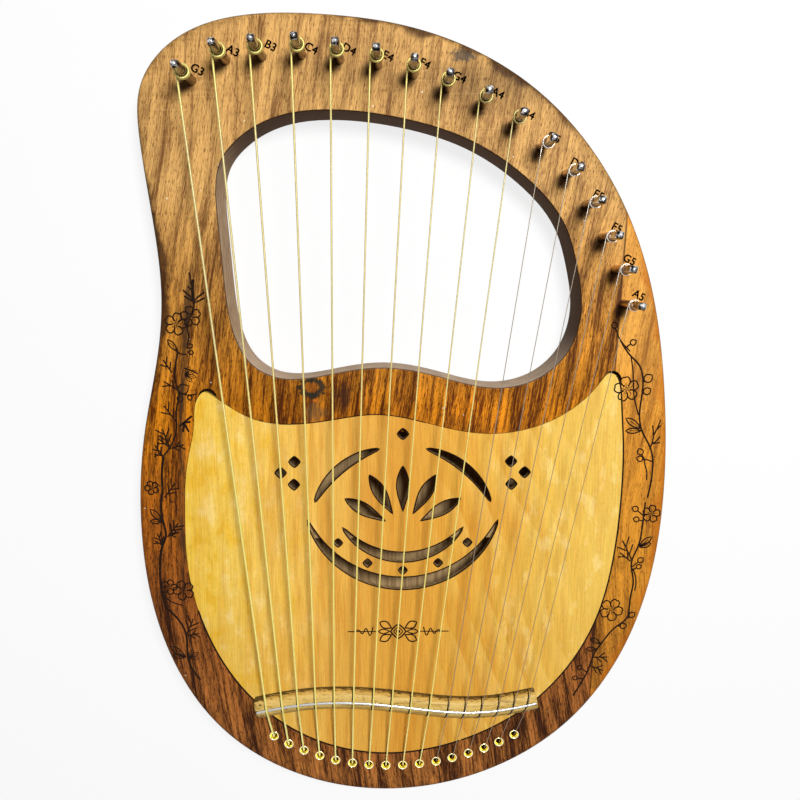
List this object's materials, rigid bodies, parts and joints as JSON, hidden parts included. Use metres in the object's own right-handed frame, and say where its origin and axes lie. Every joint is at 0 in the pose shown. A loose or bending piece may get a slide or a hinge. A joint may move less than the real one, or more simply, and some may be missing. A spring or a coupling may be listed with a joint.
{
  "type": "lyre harp",
  "caption": "Small wooden lyre harp: pear-shaped body with an arm window, inlaid pierced soundboard, curved bridge, and strings running from brass eyelets to turning chrome pins.",
  "frame": {"origin": "on the ground below the middle of the body, which lies on its back", "axes": "+X to the harp's right (the short strings), +Y to its top (the tuning pins), +Z out of its face"},
  "size_m": [0.2839, 0.4193, 0.059],
  "materials": {
    "body_wood": "satin varnish over dark-grained brown wood",
    "soundboard_wood": "satin varnish over pale yellow wood",
    "brace_wood": "bare pale wood",
    "bridge_wood": "oiled olive-yellow wood",
    "saddle_steel": "bright drawn steel",
    "pin_chrome": "bright nickel plate",
    "eyelet_brass": "bright brass",
    "wound_string": "pale bronze winding",
    "plain_string": "plain steel wire"
  },
  "bodies": {
    "harp": {"body": "body_wood", "soundboard": "soundboard_wood", "back_panel": "body_wood", "soundboard_brace_upper": "brace_wood", "soundboard_brace_lower": "brace_wood", "bridge_plate": "brace_wood", "bridge": "bridge_wood", "saddle_rod": "saddle_steel", "string_01": "wound_string", "string_02": "wound_string", "string_03": "wound_string", "string_04": "wound_string", "string_05": "wound_string", "string_06": "wound_string", "string_07": "wound_string", "string_08": "wound_string", "string_09": "wound_string", "string_10": "wound_string", "string_11": "plain_string", "string_12": "plain_string", "string_13": "plain_string", "string_14": "plain_string", "string_15": "plain_string", "string_16": "plain_string", "eyelet_01": "eyelet_brass", "eyelet_02": "eyelet_brass", "eyelet_03": "eyelet_brass", "eyelet_04": "eyelet_brass", "eyelet_05": "eyelet_brass", "eyelet_06": "eyelet_brass", "eyelet_07": "eyelet_brass", "eyelet_08": "eyelet_brass", "eyelet_09": "eyelet_brass", "eyelet_10": "eyelet_brass", "eyelet_11": "eyelet_brass", "eyelet_12": "eyelet_brass", "eyelet_13": "eyelet_brass", "eyelet_14": "eyelet_brass", "eyelet_15": "eyelet_brass", "eyelet_16": "eyelet_brass"},
    "pin_01": {"tuning_pin_01": "pin_chrome"},
    "pin_02": {"tuning_pin_02": "pin_chrome"},
    "pin_03": {"tuning_pin_03": "pin_chrome"},
    "pin_04": {"tuning_pin_04": "pin_chrome"},
    "pin_05": {"tuning_pin_05": "pin_chrome"},
    "pin_06": {"tuning_pin_06": "pin_chrome"},
    "pin_07": {"tuning_pin_07": "pin_chrome"},
    "pin_08": {"tuning_pin_08": "pin_chrome"},
    "pin_09": {"tuning_pin_09": "pin_chrome"},
    "pin_10": {"tuning_pin_10": "pin_chrome"},
    "pin_11": {"tuning_pin_11": "pin_chrome"},
    "pin_12": {"tuning_pin_12": "pin_chrome"},
    "pin_13": {"tuning_pin_13": "pin_chrome"},
    "pin_14": {"tuning_pin_14": "pin_chrome"},
    "pin_15": {"tuning_pin_15": "pin_chrome"},
    "pin_16": {"tuning_pin_16": "pin_chrome"}
  },
  "joints": [
    {"name": "pin_01_turn", "type": "hinge", "parent": "harp", "child": "pin_01", "pos_m": [-0.1049, 0.1774, 0.026], "axis": [0, 0, 1], "range_deg": [-180, 810]},
    {"name": "pin_02_turn", "type": "hinge", "parent": "harp", "child": "pin_02", "pos_m": [-0.0878, 0.187, 0.026], "axis": [0, 0, 1], "range_deg": [-180, 810]},
    {"name": "pin_03_turn", "type": "hinge", "parent": "harp", "child": "pin_03", "pos_m": [-0.07, 0.1887, 0.026], "axis": [0, 0, 1], "range_deg": [-180, 810]},
    {"name": "pin_04_turn", "type": "hinge", "parent": "harp", "child": "pin_04", "pos_m": [-0.0503, 0.1897, 0.026], "axis": [0, 0, 1], "range_deg": [-180, 810]},
    {"name": "pin_05_turn", "type": "hinge", "parent": "harp", "child": "pin_05", "pos_m": [-0.0316, 0.1875, 0.026], "axis": [0, 0, 1], "range_deg": [-180, 810]},
    {"name": "pin_06_turn", "type": "hinge", "parent": "harp", "child": "pin_06", "pos_m": [-0.0128, 0.185, 0.026], "axis": [0, 0, 1], "range_deg": [-180, 810]},
    {"name": "pin_07_turn", "type": "hinge", "parent": "harp", "child": "pin_07", "pos_m": [0.0048, 0.1806, 0.026], "axis": [0, 0, 1], "range_deg": [-180, 810]},
    {"name": "pin_08_turn", "type": "hinge", "parent": "harp", "child": "pin_08", "pos_m": [0.0213, 0.1742, 0.026], "axis": [0, 0, 1], "range_deg": [-180, 810]},
    {"name": "pin_09_turn", "type": "hinge", "parent": "harp", "child": "pin_09", "pos_m": [0.0394, 0.1666, 0.026], "axis": [0, 0, 1], "range_deg": [-180, 810]},
    {"name": "pin_10_turn", "type": "hinge", "parent": "harp", "child": "pin_10", "pos_m": [0.0557, 0.157, 0.026], "axis": [0, 0, 1], "range_deg": [-180, 810]},
    {"name": "pin_11_turn", "type": "hinge", "parent": "harp", "child": "pin_11", "pos_m": [0.0699, 0.1455, 0.026], "axis": [0, 0, 1], "range_deg": [-180, 810]},
    {"name": "pin_12_turn", "type": "hinge", "parent": "harp", "child": "pin_12", "pos_m": [0.0829, 0.1323, 0.026], "axis": [0, 0, 1], "range_deg": [-180, 810]},
    {"name": "pin_13_turn", "type": "hinge", "parent": "harp", "child": "pin_13", "pos_m": [0.0936, 0.1173, 0.026], "axis": [0, 0, 1], "range_deg": [-180, 810]},
    {"name": "pin_14_turn", "type": "hinge", "parent": "harp", "child": "pin_14", "pos_m": [0.1026, 0.1009, 0.026], "axis": [0, 0, 1], "range_deg": [-180, 810]},
    {"name": "pin_15_turn", "type": "hinge", "parent": "harp", "child": "pin_15", "pos_m": [0.1099, 0.0848, 0.026], "axis": [0, 0, 1], "range_deg": [-180, 810]},
    {"name": "pin_16_turn", "type": "hinge", "parent": "harp", "child": "pin_16", "pos_m": [0.1149, 0.0672, 0.026], "axis": [0, 0, 1], "range_deg": [-180, 810]}
  ]
}
